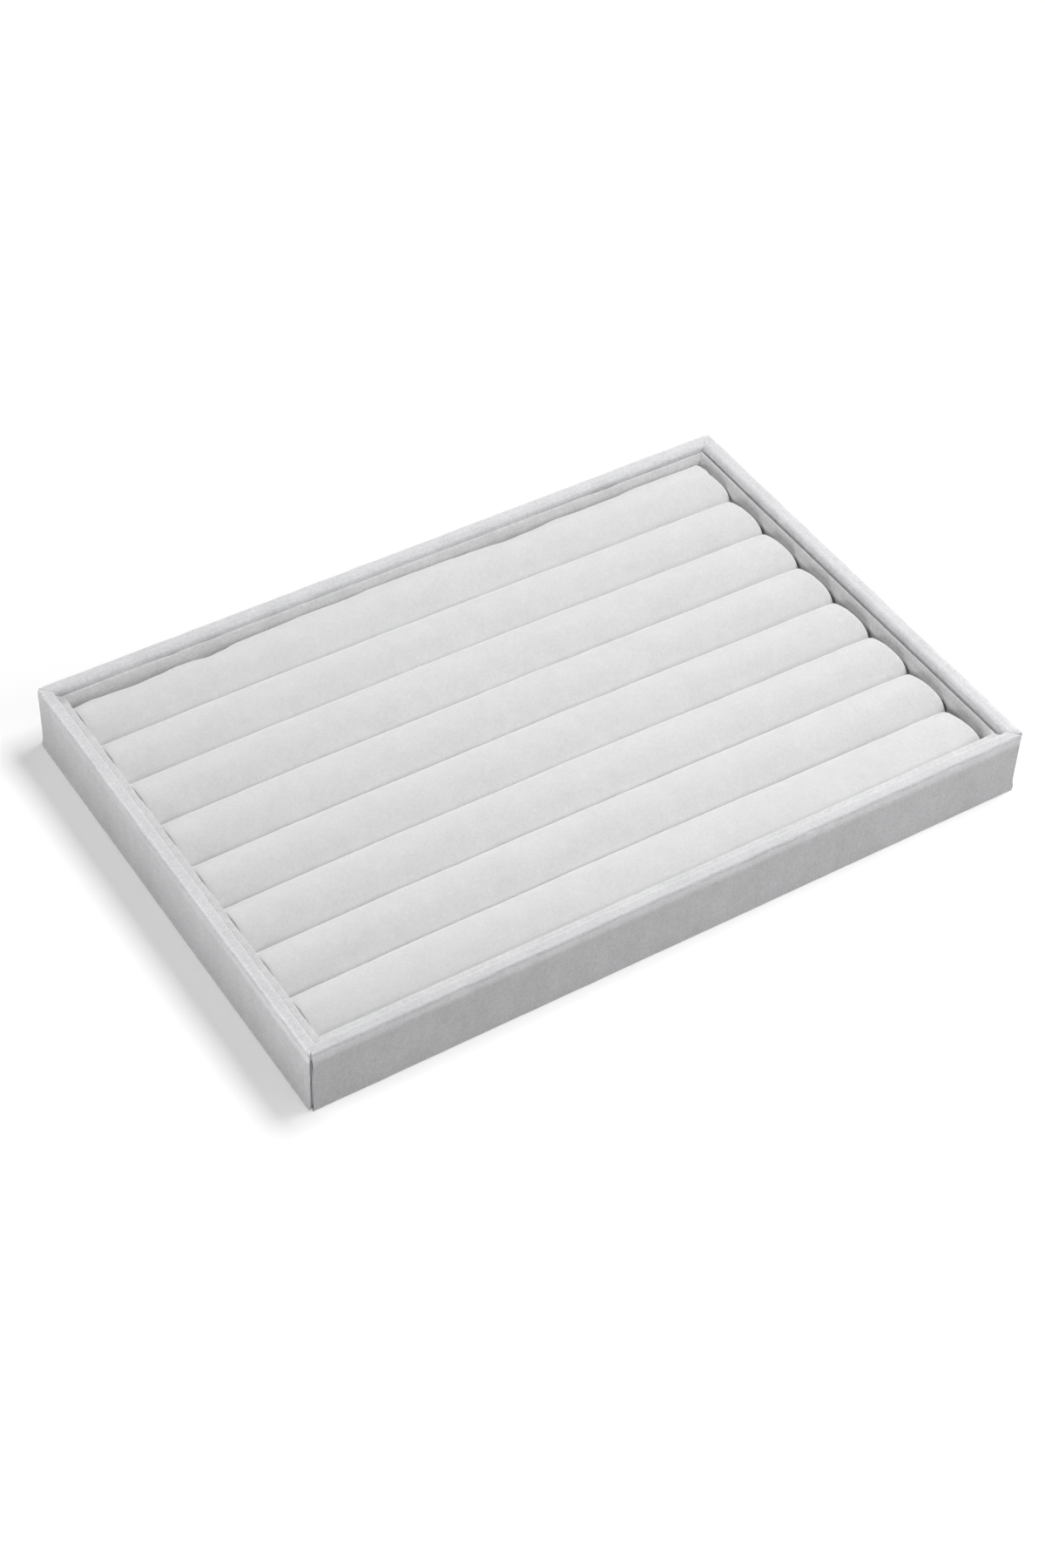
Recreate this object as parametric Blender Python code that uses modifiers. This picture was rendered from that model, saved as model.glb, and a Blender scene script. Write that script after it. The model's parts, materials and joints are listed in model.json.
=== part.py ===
"""A velvet ring display tray: a covered board tray, lining strips, and a lift-out insert of padded rolls.

Lengths are in metres. X runs along the tray, Y across it with the back at +Y, and Z is up.
The origin is the centre of the underside.
"""

import math

import bmesh
import bpy

MM = 0.001

# Outer size of the tray
TRAY_LENGTH = 350.0 * MM
TRAY_WIDTH = 238.0 * MM
TRAY_HEIGHT = 32.5 * MM

# Gap at a glue line, and between pieces that rest on each other
GLUE_GAP = 0.3 * MM

# Walls: a board strip with velvet over its outer face, top and inner face
WALL_BOARD = 3.4 * MM
WALL_VELVET = 0.7 * MM
RIM_RADIUS = 1.8 * MM
FOOT_RADIUS = 1.0 * MM
CORNER_EASE = 0.6 * MM
HEM_WIDTH = 7.0 * MM

# Base: a board with felt under it, inside the hem of the wall velvet
BASE_BOARD = 2.5 * MM
BASE_FELT = 0.8 * MM
FLOOR_LINING = 0.6 * MM

# Lining strips: card with thin velvet over both faces and the top
LINING_STANDOFF = 0.9 * MM
LINING_DROP = 3.2 * MM
LINING_CARD = 1.0 * MM
LINING_VELVET = 0.5 * MM
LINING_RADIUS = 1.0 * MM

# Roll insert: a board that carries a row of foam strips, each wrapped in velvet
ROLL_COUNT = 8
INSERT_BOARD = 1.5 * MM
INSERT_SIDE_CLEARANCE = 0.9 * MM
INSERT_LEFT_CLEARANCE = 0.9 * MM
INSERT_RIGHT_CLEARANCE = 3.3 * MM
ROLL_GAP = 0.3 * MM
ROLL_DROP = 1.2 * MM
ROLL_CROWN = 6.3 * MM
ROLL_TUCK = 0.8 * MM
ROLL_VELVET = 0.7 * MM
ROLL_END_RADIUS = 1.5 * MM

# Facets of the round edges, the crowns and the sides
EDGE_STEPS = 4
CROWN_STEPS = 14
SIDE_STEPS = 3
END_STEPS = 3
SHARP_ANGLE = math.radians(40)
BEVEL_ANGLE = math.radians(55)
WELD_DISTANCE = 0.001 * MM

# Thicknesses and levels that follow from the sizes above
WALL = 2 * (WALL_VELVET + GLUE_GAP) + WALL_BOARD
BASE_BOTTOM = max(WALL_VELVET, BASE_FELT) + GLUE_GAP
BASE_TOP = BASE_BOTTOM + BASE_BOARD
FLOOR_TOP = BASE_TOP + GLUE_GAP + FLOOR_LINING
LINING = 2 * (LINING_VELVET + GLUE_GAP) + LINING_CARD
LINING_FACE = WALL + LINING_STANDOFF
LINING_TOP = TRAY_HEIGHT - LINING_DROP
INSERT_BOTTOM = FLOOR_TOP + GLUE_GAP
ROLL_BASE = INSERT_BOTTOM + INSERT_BOARD + GLUE_GAP
ROLL_CREST = TRAY_HEIGHT - ROLL_DROP

# Plan of the insert, inside the lining strips
INSET = LINING_FACE + LINING
INSERT_HALF_WIDTH = TRAY_WIDTH / 2 - INSET - INSERT_SIDE_CLEARANCE
INSERT_LEFT = INSET + INSERT_LEFT_CLEARANCE - TRAY_LENGTH / 2
INSERT_RIGHT = TRAY_LENGTH / 2 - INSET - INSERT_RIGHT_CLEARANCE
INSERT_CENTRE = (INSERT_LEFT + INSERT_RIGHT) / 2
INSERT_HALF_LENGTH = (INSERT_RIGHT - INSERT_LEFT) / 2
ROLL_PITCH = 2 * INSERT_HALF_WIDTH / ROLL_COUNT
ROLL_HALF_WIDTH = (ROLL_PITCH - ROLL_GAP) / 2

# The sides of the tray, each a quarter turn on from the one before
SIDES = ("front", "right", "back", "left")


def clear_scene():
    """Remove every object of the open scene."""
    for item in list(bpy.data.objects):
        bpy.data.objects.remove(item, do_unlink=True)


def make_material(name, colour, roughness):
    """Plain Principled material, not metallic."""
    material = bpy.data.materials.new(name)
    material.use_nodes = True
    shader = material.node_tree.nodes["Principled BSDF"]
    shader.inputs["Base Color"].default_value = (*colour, 1.0)
    shader.inputs["Roughness"].default_value = roughness
    shader.inputs["Metallic"].default_value = 0.0
    material.diffuse_color = (*colour, 1.0)
    return material


def make_materials():
    """One material for each kind of stock that the tray is made of."""
    return {
        "wall_velvet": make_material("wall_velvet", (0.62, 0.62, 0.64), 0.95),
        "lining_velvet": make_material("lining_velvet", (0.60, 0.60, 0.62), 0.95),
        "roll_velvet": make_material("roll_velvet", (0.70, 0.70, 0.71), 0.95),
        "floor_velvet": make_material("floor_velvet", (0.55, 0.55, 0.57), 0.95),
        "felt": make_material("felt", (0.30, 0.30, 0.31), 0.98),
        "fibreboard": make_material("fibreboard", (0.42, 0.30, 0.19), 0.85),
        "greyboard": make_material("greyboard", (0.36, 0.34, 0.31), 0.90),
        "foam": make_material("foam", (0.78, 0.77, 0.72), 0.95),
    }


def add_part(name, mesh, material, parent, smooth=True):
    """Link a mesh as one named sub-part under its parent empty."""
    part = bpy.data.objects.new(name, mesh)
    part.parent = parent
    mesh.materials.append(material)
    if smooth:
        mesh.shade_smooth()
        mesh.set_sharp_from_angle(angle=SHARP_ANGLE)
    COLLECTION.objects.link(part)
    return part


def add_empty(name, location):
    """Empty that carries the sub-parts of one body."""
    empty = bpy.data.objects.new(name, None)
    empty.location = location
    COLLECTION.objects.link(empty)
    return empty


def box_mesh(name, low, high):
    """Closed box between two corners."""
    shape = bmesh.new()
    bmesh.ops.create_cube(shape, size=1.0)
    for vert in shape.verts:
        vert.co = [low[i] if vert.co[i] < 0 else high[i] for i in range(3)]
    mesh = bpy.data.meshes.new(name)
    shape.to_mesh(mesh)
    shape.free()
    return mesh


def arc(centre_depth, centre_height, radius, start, steps=EDGE_STEPS):
    """Points of a quarter circle that turns anticlockwise from a start angle in degrees."""
    if radius <= WELD_DISTANCE:
        return [(centre_depth, centre_height)]
    points = []
    for step in range(steps + 1):
        angle = math.radians(start + 90 * step / steps)
        points.append((centre_depth + radius * math.cos(angle),
                       centre_height + radius * math.sin(angle)))
    return points


def outline_mesh(name, outline, half_length):
    """Mesh of a flat outline in (depth, height), extruded by half_length both ways along the run."""
    curve = bpy.data.curves.new(name, 'CURVE')
    curve.dimensions = '2D'
    curve.fill_mode = 'BOTH'
    curve.extrude = half_length
    spline = curve.splines.new('POLY')
    spline.points.add(len(outline) - 1)
    for point, (depth, height) in zip(spline.points, outline):
        point.co = (depth, height, 0.0, 1.0)
    spline.use_cyclic_u = True
    guide = bpy.data.objects.new(name, curve)
    COLLECTION.objects.link(guide)
    graph = bpy.context.evaluated_depsgraph_get()
    mesh = bpy.data.meshes.new_from_object(guide.evaluated_get(graph))
    bpy.data.objects.remove(guide)
    bpy.data.curves.remove(curve)

    shape = bmesh.new()
    shape.from_mesh(mesh)
    bmesh.ops.remove_doubles(shape, verts=shape.verts, dist=WELD_DISTANCE)
    bmesh.ops.recalc_face_normals(shape, faces=shape.faces)
    if shape.calc_volume(signed=True) < 0:
        bmesh.ops.reverse_faces(shape, faces=shape.faces)
    caps = [face for face in shape.faces if abs(face.normal.z) > 0.5]
    bmesh.ops.dissolve_faces(shape, faces=caps)
    for vert in shape.verts:
        depth, height, run = vert.co
        vert.co = (run, depth, height)
    shape.to_mesh(mesh)
    shape.free()
    mesh.name = name
    return mesh


def mitred_strip(name, outline, side, quarter, material, parent):
    """Strip along one side of the tray, with its ends cut at 45 degrees to meet its neighbours.

    The mitre stops just short of the tray's outer corner, where the velvet's two cut edges meet.
    """
    along_x = quarter % 2 == 0
    half_run = (TRAY_LENGTH if along_x else TRAY_WIDTH) / 2
    half_depth = (TRAY_WIDTH if along_x else TRAY_LENGTH) / 2
    setback = GLUE_GAP / math.sqrt(2)
    mesh = outline_mesh(name, outline, half_run)
    for vert in mesh.vertices:
        end = half_run - max(vert.co.y, CORNER_EASE) - setback
        vert.co.x = math.copysign(end, vert.co.x)
    part = add_part(side + "_" + name, mesh, material, parent)
    turn = quarter * math.pi / 2
    part.location = (half_depth * math.sin(turn), -half_depth * math.cos(turn), 0.0)
    part.rotation_euler = (0.0, 0.0, turn)
    return part


def wall_velvet_outline():
    """Section of the velvet: hem, outer face, rounded rim and inner face, at its full thickness."""
    skin = WALL_VELVET
    rim = min(RIM_RADIUS, WALL / 2)
    top = TRAY_HEIGHT - rim
    outer = [(HEM_WIDTH, 0.0)]
    outer += list(reversed(arc(FOOT_RADIUS, FOOT_RADIUS, FOOT_RADIUS, 180)))
    outer += list(reversed(arc(rim, top, rim, 90)))
    outer += list(reversed(arc(WALL - rim, top, rim, 0)))
    outer += [(WALL, BASE_TOP + GLUE_GAP)]
    inner_rim = max(rim - skin, 0.0)
    inner_foot = max(FOOT_RADIUS - skin, 0.0)
    inner = [(WALL - skin, BASE_TOP + GLUE_GAP)]
    inner += arc(WALL - skin - inner_rim, TRAY_HEIGHT - skin - inner_rim, inner_rim, 0)
    inner += arc(skin + inner_rim, TRAY_HEIGHT - skin - inner_rim, inner_rim, 90)
    inner += arc(skin + inner_foot, skin + inner_foot, inner_foot, 180)
    inner += [(HEM_WIDTH, skin)]
    return outer + inner


def wall_board_outline():
    """Section of the wall's board, which stands on the base board."""
    inset = WALL_VELVET + GLUE_GAP
    edge = max(min(RIM_RADIUS, WALL / 2) - inset, 0.0)
    top = TRAY_HEIGHT - inset - edge
    return ([(inset, BASE_TOP + GLUE_GAP), (WALL - inset, BASE_TOP + GLUE_GAP)]
            + arc(WALL - inset - edge, top, edge, 0)
            + arc(inset + edge, top, edge, 90))


def lining_velvet_outline():
    """Section of the thin velvet that is folded over the top of a lining card."""
    skin = LINING_VELVET
    edge = min(LINING_RADIUS, LINING / 2)
    inner_edge = max(edge - skin, 0.0)
    back = LINING_FACE
    front = LINING_FACE + LINING
    foot = FLOOR_TOP + GLUE_GAP
    top = LINING_TOP
    return ([(back + skin, foot), (back, foot)]
            + list(reversed(arc(back + edge, top - edge, edge, 90)))
            + list(reversed(arc(front - edge, top - edge, edge, 0)))
            + [(front, foot), (front - skin, foot)]
            + arc(front - skin - inner_edge, top - skin - inner_edge, inner_edge, 0)
            + arc(back + skin + inner_edge, top - skin - inner_edge, inner_edge, 90))


def lining_card_outline():
    """Section of the card inside a lining strip."""
    inset = LINING_VELVET + GLUE_GAP
    edge = max(min(LINING_RADIUS, LINING / 2) - inset, 0.0)
    back = LINING_FACE + inset
    front = LINING_FACE + LINING - inset
    top = LINING_TOP - inset - edge
    return ([(back, FLOOR_TOP + GLUE_GAP), (front, FLOOR_TOP + GLUE_GAP)]
            + arc(front - edge, top, edge, 0)
            + arc(back + edge, top, edge, 90))


def make_walls(materials, tray):
    """Board and velvet of the four walls."""
    for quarter, side in enumerate(SIDES):
        mitred_strip("wall_board", wall_board_outline(), side, quarter,
                     materials["fibreboard"], tray)
        mitred_strip("wall_velvet", wall_velvet_outline(), side, quarter,
                     materials["wall_velvet"], tray)


def make_linings(materials, tray):
    """Card and velvet of the four lining strips."""
    for quarter, side in enumerate(SIDES):
        mitred_strip("lining_card", lining_card_outline(), side, quarter,
                     materials["greyboard"], tray)
        mitred_strip("lining_velvet", lining_velvet_outline(), side, quarter,
                     materials["lining_velvet"], tray)


def centred_sheet(name, inset, bottom, top, material, parent):
    """Flat sheet that follows the tray's plan, inset from its outer faces."""
    half_length = TRAY_LENGTH / 2 - inset
    half_width = TRAY_WIDTH / 2 - inset
    mesh = box_mesh(name, (-half_length, -half_width, bottom), (half_length, half_width, top))
    return add_part(name, mesh, material, parent, smooth=False)


def make_base(materials, tray):
    """Base board, the felt under it and the lining on it."""
    centred_sheet("base_felt", HEM_WIDTH + GLUE_GAP, 0.0, BASE_FELT, materials["felt"], tray)
    centred_sheet("base_board", WALL_VELVET + GLUE_GAP, BASE_BOTTOM, BASE_TOP,
                  materials["fibreboard"], tray)
    centred_sheet("floor_lining", WALL + GLUE_GAP, BASE_TOP + GLUE_GAP, FLOOR_TOP,
                  materials["floor_velvet"], tray)


def crown_point(angle, inset):
    """Point of the roll's crown at an angle from the vertical, moved in square to the surface."""
    across = math.sin(angle)
    up = math.cos(angle)
    normal_across = across / ROLL_HALF_WIDTH
    normal_up = up / ROLL_CROWN
    size = math.hypot(normal_across, normal_up)
    return (ROLL_HALF_WIDTH * across - inset * normal_across / size,
            ROLL_CREST - ROLL_CROWN + ROLL_CROWN * up - inset * normal_up / size)


def roll_outline(inset):
    """Section of a roll: sides drawn in towards the base, under a low elliptical crown."""
    shoulder = ROLL_CREST - ROLL_CROWN
    right = []
    for step in range(SIDE_STEPS):
        rise = step / SIDE_STEPS
        tuck = ROLL_TUCK * (1 - rise) ** 2
        right.append((ROLL_HALF_WIDTH - tuck - inset, ROLL_BASE + rise * (shoulder - ROLL_BASE)))
    crown = [crown_point(math.radians(90 - 180 * step / CROWN_STEPS), inset)
             for step in range(CROWN_STEPS + 1)]
    left = [(-across, height) for across, height in reversed(right)]
    return right + crown + left


def round_ends(part, radius):
    """Round the edges between a roll's end faces and its sides."""
    bevel = part.modifiers.new("rounded_ends", 'BEVEL')
    bevel.width = radius
    bevel.segments = END_STEPS
    bevel.limit_method = 'ANGLE'
    bevel.angle_limit = BEVEL_ANGLE
    bevel.use_clamp_overlap = True


def make_foam(number, across, material, parent):
    """Foam strip inside one roll."""
    inset = ROLL_VELVET + GLUE_GAP
    name = "foam_roll_" + str(number)
    mesh = outline_mesh(name, roll_outline(inset), INSERT_HALF_LENGTH - inset)
    part = add_part(name, mesh, material, parent)
    part.location = (0.0, across, 0.0)
    return part


def make_cover(number, across, material, parent):
    """Velvet over one roll, open underneath where it is glued to the insert board."""
    name = "velvet_roll_" + str(number)
    mesh = outline_mesh(name, roll_outline(0.0), INSERT_HALF_LENGTH)
    shape = bmesh.new()
    shape.from_mesh(mesh)
    shape.normal_update()
    underside = [face for face in shape.faces if face.normal.z < -0.5]
    bmesh.ops.delete(shape, geom=underside, context='FACES')
    shape.to_mesh(mesh)
    shape.free()
    part = add_part(name, mesh, material, parent)
    part.location = (0.0, across, 0.0)
    round_ends(part, ROLL_END_RADIUS)
    shell = part.modifiers.new("velvet_thickness", 'SOLIDIFY')
    shell.thickness = ROLL_VELVET
    shell.offset = -1.0
    shell.use_even_offset = True
    shell.use_rim = True
    return part


def make_insert(materials):
    """Board and rolls that lift out of the tray together."""
    insert = add_empty("roll_insert", (INSERT_CENTRE, 0.0, 0.0))
    mesh = box_mesh("insert_board",
                    (-INSERT_HALF_LENGTH, -INSERT_HALF_WIDTH, INSERT_BOTTOM),
                    (INSERT_HALF_LENGTH, INSERT_HALF_WIDTH, INSERT_BOTTOM + INSERT_BOARD))
    add_part("insert_board", mesh, materials["greyboard"], insert, smooth=False)
    for index in range(ROLL_COUNT):
        across = (index - (ROLL_COUNT - 1) / 2) * ROLL_PITCH
        make_foam(index + 1, across, materials["foam"], insert)
        make_cover(index + 1, across, materials["roll_velvet"], insert)


def make_tray(materials):
    """Everything of the tray itself."""
    tray = add_empty("tray", (0.0, 0.0, 0.0))
    make_base(materials, tray)
    make_walls(materials, tray)
    make_linings(materials, tray)


clear_scene()
COLLECTION = bpy.data.collections.new("ring_tray")
bpy.context.scene.collection.children.link(COLLECTION)
MATERIALS = make_materials()
make_tray(MATERIALS)
make_insert(MATERIALS)
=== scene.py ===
"""Looks of the velvet ring tray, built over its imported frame.

Lengths are in metres. X runs along the tray, Y across it with the back at +Y, and Z is up.
"""

import json
from math import asin, cos, hypot, pi, radians, sin, sqrt

import bmesh
import bpy
from mathutils import Matrix, Vector, noise

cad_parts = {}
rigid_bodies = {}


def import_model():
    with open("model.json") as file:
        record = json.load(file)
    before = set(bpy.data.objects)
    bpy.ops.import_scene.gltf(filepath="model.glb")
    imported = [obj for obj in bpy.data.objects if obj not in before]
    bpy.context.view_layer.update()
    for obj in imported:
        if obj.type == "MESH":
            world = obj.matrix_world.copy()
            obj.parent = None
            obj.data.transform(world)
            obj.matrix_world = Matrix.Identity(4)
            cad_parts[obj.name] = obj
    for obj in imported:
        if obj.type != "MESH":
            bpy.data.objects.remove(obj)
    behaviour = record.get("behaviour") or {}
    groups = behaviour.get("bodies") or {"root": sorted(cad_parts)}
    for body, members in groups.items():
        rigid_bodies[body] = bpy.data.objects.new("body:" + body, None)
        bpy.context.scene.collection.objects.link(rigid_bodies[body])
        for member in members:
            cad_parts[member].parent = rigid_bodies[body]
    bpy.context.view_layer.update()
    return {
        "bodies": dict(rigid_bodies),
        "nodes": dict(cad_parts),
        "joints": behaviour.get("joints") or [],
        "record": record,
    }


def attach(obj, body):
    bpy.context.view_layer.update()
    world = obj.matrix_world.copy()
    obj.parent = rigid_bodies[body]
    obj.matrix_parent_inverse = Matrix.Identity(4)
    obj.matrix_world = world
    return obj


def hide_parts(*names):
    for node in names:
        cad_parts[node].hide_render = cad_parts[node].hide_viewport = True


MM = 0.001

# Size of the tray and of its parts, as in the frame
TRAY_LENGTH = 350.0 * MM
TRAY_WIDTH = 238.0 * MM
TRAY_HEIGHT = 32.5 * MM
WALL = 5.4 * MM
HEM_WIDTH = 7.0 * MM
WALL_FOOT = 3.9 * MM
LINING_BACK = 6.3 * MM
LINING_FACE = 8.9 * MM
LINING_FOOT = 4.8 * MM
LINING_TOP = 29.3 * MM
ROLL_COUNT = 8
ROLL_PITCH = 27.3 * MM
ROLL_HALF_WIDTH = 13.5 * MM
ROLL_BASE = 6.6 * MM
ROLL_CREST = 31.3 * MM
ROLL_TUCK = 0.8 * MM
SIDES = ("front", "right", "back", "left")

# Velvet of the walls: its section, and how it lies at the corners
WALL_SKIN = 0.7 * MM
FOOT_RADIUS = 0.4 * MM
# Run and rise of the fold over each wall's outer edge, and how far its pile stands proud
RIM_OUTERS = {
    "front": (0.8 * MM, 1.0 * MM),
    "right": (0.5 * MM, 0.8 * MM),
    "back": (0.9 * MM, 1.2 * MM),
    "left": (0.9 * MM, 1.3 * MM),
}
WALL_PILES = {"front": 0.35 * MM, "right": 0.9 * MM, "back": 0.3 * MM, "left": 0.35 * MM}
# Run and rise of the fold over its inner edge
RIM_INNERS = {
    "front": (1.0 * MM, 1.3 * MM),
    "right": (2.0 * MM, 2.6 * MM),
    "back": (2.0 * MM, 2.6 * MM),
    "left": (1.0 * MM, 1.3 * MM),
}
# Rounded corners, where each side ends a little short of the mitre and turns in over a seam's width
CORNER_RADIUS = 1.1 * MM
SEAM_SETBACK = 0.05 * MM
SEAM_WIDTH = 1.6 * MM
# How far it turns in: on its face, over the corners from front right round to front left, and inside
SEAM_TUCK = {"front": -0.10 * MM, "right": 0.50 * MM, "back": -0.10 * MM, "left": 0.50 * MM}
SEAM_ON_TOP = (0.22 * MM, 0.03 * MM, 0.03 * MM, 0.03 * MM)
SEAM_PUSH = 0.25 * MM
# Below this height the nap fades out towards the foot
FOOT_CALM = 0.3 * MM
# The velvet stands out a little round the foot, over this height
FOOT_FLARE = 0.6 * MM
FOOT_FLARE_RISE = 6.0 * MM
WALL_NAP = 0.20 * MM
WALL_WAVES = ((45 * MM, 0.40), (13 * MM, 0.30), (5 * MM, 0.30))
WALL_SEED = 3
# By this share the nap is calmer over the rim, where the fold itself wanders
RIM_CALM = 0.5
FOLD_WANDER = 0.40 * MM
FOLD_WAVES = ((11 * MM, 0.5), (4 * MM, 0.5))
FOLD_SEED = 8

# Velvet of the lining strips
LINING_SKIN = 0.5 * MM
LINING_BACK_RUN = 0.9 * MM
LINING_BACK_RISE = 1.1 * MM
# The front and left strips are pushed up by the insert, which lies against them
LINING_LIFTS = {"front": 1.1 * MM, "right": 0.0, "back": 0.0, "left": 1.1 * MM}
# Bulge of each strip's face at its top, and the run and rise of the ease over it
LINING_FRONTS = {
    "front": (0.0 * MM, 0.5 * MM, 0.5 * MM),
    "right": (0.4 * MM, 2.0 * MM, 4.5 * MM),
    "back": (0.4 * MM, 2.0 * MM, 4.0 * MM),
    "left": (0.0 * MM, 0.5 * MM, 0.5 * MM),
}
# A strip's top has a flat stretch only where that is wider than this
FLAT_LEAST = 0.2 * MM
LINING_NAP = 0.14 * MM
LINING_WAVES = ((30 * MM, 0.35), (9 * MM, 0.35), (4 * MM, 0.30))
LINING_SEEDS = {"front": 11, "right": 12, "back": 13, "left": 14}
# How far each strip's face leans in at its top
LEAN = {"front": 0.0 * MM, "right": 0.7 * MM, "back": 0.2 * MM, "left": 0.0 * MM}
# Width of the slit between each strip and its wall, by the run along it, in millimetres, and
# below zero where the velvet of one lies pressed into that of the other
SLIT = {
    "front": ((-165, 0.2), (0, 0.0), (165, -0.2)),
    "right": ((-110, 1.4), (0, 1.5), (60, 1.4), (110, 0.9)),
    "back": ((-165, 0.8), (-145, 0.7), (-121, 0.45), (-116, 1.1), (-108, 1.0), (-103, 0.4),
             (-60, 0.15), (20, 0.15), (60, 0.25), (85, 0.15), (94, 0.6), (101, 0.15),
             (107, 0.2), (113, 0.75), (119, 0.2), (140, 0.2), (165, 0.4)),
    "left": ((-110, -0.3), (0, -0.3), (110, -0.3)),
}

# Padded rolls: their section and its steps, a little small before they swell
PAD_INSET = 0.35 * MM
PAD_CROWN = 8.0 * MM
PAD_SIDE_EASE = 0.12
PAD_SIDE_STEPS = 5
PAD_CROWN_STEPS = 14
PAD_BASE_STEPS = 6
PAD_CAP_SHARES = (0.75, 0.5, 0.25)
# Their ends, with the run and the drop of the ease over each
PAD_LEFT_END = -166.4 * MM
PAD_RIGHT_END = 163.9 * MM
PAD_LEFT_EASE = (3.0 * MM, 0.6 * MM)
PAD_RIGHT_EASE = (1.3 * MM, 1.1 * MM)
# How far the right end of each roll stands beyond that place, in millimetres
PAD_END_SHIFTS = (-0.8, 0.3, 0.3, -0.4, -0.1, 0.1, -0.2, 0.8)
# Near the right ends, the tops and the rear sides fall back and the front sides reach out
PAD_SLANT_REACH = 16.0 * MM
PAD_SLANT = 4.6 * MM
PAD_SLANT_SHARPNESS = 9
PAD_REAR_SLANT = 4.2 * MM
PAD_LAST_SLANT = 3.0 * MM
PAD_FRONT_REACH = 1.8 * MM
# Height of the crown along the rolls, in millimetres: they are rounder towards their ends
PAD_ROUNDING = ((-165, 8.4), (-150, 8.0), (-135, 7.5), (-115, 6.9), (-95, 6.6), (-35, 6.7),
                (5, 6.8), (45, 7.1), (85, 8.0), (105, 8.6), (145, 9.6), (154, 10.4), (163, 12.0))
# The same in front of the first roll, which leans on the front lining strip
FRONT_ROUNDING = ((-165, 6.8), (-60, 6.0), (30, 4.6), (120, 4.0), (145, 5.4), (163, 10.0))
# The same behind the last roll, which leans on the back lining strip
REAR_ROUNDING = ((-165, 9.6), (-156, 7.8), (-148, 8.7), (-136, 10.0), (-124, 8.6), (-114, 6.7),
                 (-108, 6.9), (-99, 9.1), (-92, 7.8), (-84, 6.0), (-68, 5.8), (-48, 4.9),
                 (-28, 5.2), (-16, 4.5), (0, 4.7), (12, 5.0), (20, 5.1), (36, 5.7), (44, 6.4),
                 (56, 7.8), (68, 7.1), (84, 5.5), (96, 6.3), (116, 6.2), (126, 5.2), (140, 5.3),
                 (163, 6.0))
# How much flatter each of the rolls is at its rear, in millimetres
REAR_FLATTENING = (0.0, 0.0, 0.4, 0.0, 0.4, 1.2, 0.4, 0.0)
# Distance from the middle of a crown at which it has the full height of its front or its rear
PAD_TURN = 4.0 * MM
# Swelling as cloth, which is glued up to this height over the rolls' undersides
PAD_GLUED = 0.1 * MM
PAD_PRESSURE = 4.0
PAD_MASS = 0.02
PAD_FRAMES = 20
PAD_MOST_SWELL = 0.6 * MM
# Half the width of a roll when it is free, and when its neighbours squeeze it
PAD_FREE_HALF = 14.35 * MM
PAD_STRIP = 13.65 * MM
# Its nap, which is calm near the left end and near the underside
PAD_NAP = 0.28 * MM
PAD_CALM = 4.0 * MM
PAD_WAVES = ((60 * MM, 0.40), (22 * MM, 0.35), (8 * MM, 0.25))

# Mesh steps: along a side, over a strip's faces, over its hidden face, along a roll, and in folds
RUN_STEP = 1.4 * MM
FACE_STEP = 1.3 * MM
HIDDEN_STEP = 6.0 * MM
PAD_STEP = 4.0 * MM
ARC_STEPS = 7
END_STEPS = 5
# Distances from a strip's ends at which it has rings
END_STATIONS = tuple(step * MM for step in (0.0, 0.15, 0.35, 0.6, 0.9, 1.3, 1.9, 2.8, 4.0, 5.6))
SMOOTH_ANGLE = radians(50)

# Sheets under and in the tray
FELT_INSET = 7.3 * MM
FELT_THICKNESS = 0.8 * MM
FLOOR_INSET = 5.7 * MM
FLOOR_BOTTOM = 3.9 * MM
FLOOR_THICKNESS = 0.6 * MM
FLOOR_WANDER = 0.12 * MM
SHEET_STEP = 5.0 * MM
SHEET_WAVES = ((50 * MM, 0.5), (12 * MM, 0.5))
FELT_SEED = 31
FLOOR_SEED = 32
# Rows along a sheet's edges, and its thickness there as a share, which is eased over a width
SHEET_BORDER = 2.0 * MM
SHEET_EDGE_ROWS = (0.0 * MM, 0.3 * MM, 0.8 * MM)
SHEET_EDGE_SHARE = 0.3
SHEET_SOFT_EDGE = 0.8 * MM

# Steps through the noise that set its seeds and its waves apart
SEED_STEP = 7.31
SEED_SIDESTEP = 1.93
WAVE_STEP = 3.17

# Lumps of the velvet's nap, and the relief of the smaller ones
NAP_PATCH = 13.0 * MM
NAP_FLECK = 1.3 * MM
NAP_PILE = 0.45 * MM
FLECK_RELIEF = 0.3 * MM
PILE_RELIEF = 0.12 * MM
# Painted light makes the walls' velvet paler in an uneven band near the folds over their outer edges
FOLD_LOW = 26.0 * MM
FOLD_HIGH = 30.0 * MM
FOLD_UNEVEN = 2.6 * MM
FOLD_LUMP = 7.0 * MM
FOLD_DEPTH = 0.8 * MM
FOLD_PAINTED_LIGHT = 1.30
# Over the front edge itself painted shade darkens the velvet
FOLD_EDGE_LOW = 31.2 * MM
FOLD_EDGE_HIGH = 32.3 * MM
FOLD_EDGE_SHADE = 0.96
# Elsewhere this share of the band's painted light goes on over the edge
FOLD_EDGE_REST = 0.35
# Painted shade makes the front wall's rim darker; it ends between these depths
RIM_SHADE = 0.925
RIM_DEPTHS = (3.0 * MM, 5.0 * MM)
# Towards the back the band's painted light fades to this share of itself
FOLD_FRONT = -112.0 * MM
FOLD_REAR = -10.0 * MM
FOLD_REST = 0.30
# Painted shade darkens the left face down to its foot, and painted light makes it a little paler near
# its top
LEFT_FOOT_SHADE = -0.11
LEFT_TOP_LIGHT = 0.04
LEFT_HIGH = 28.0 * MM
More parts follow.
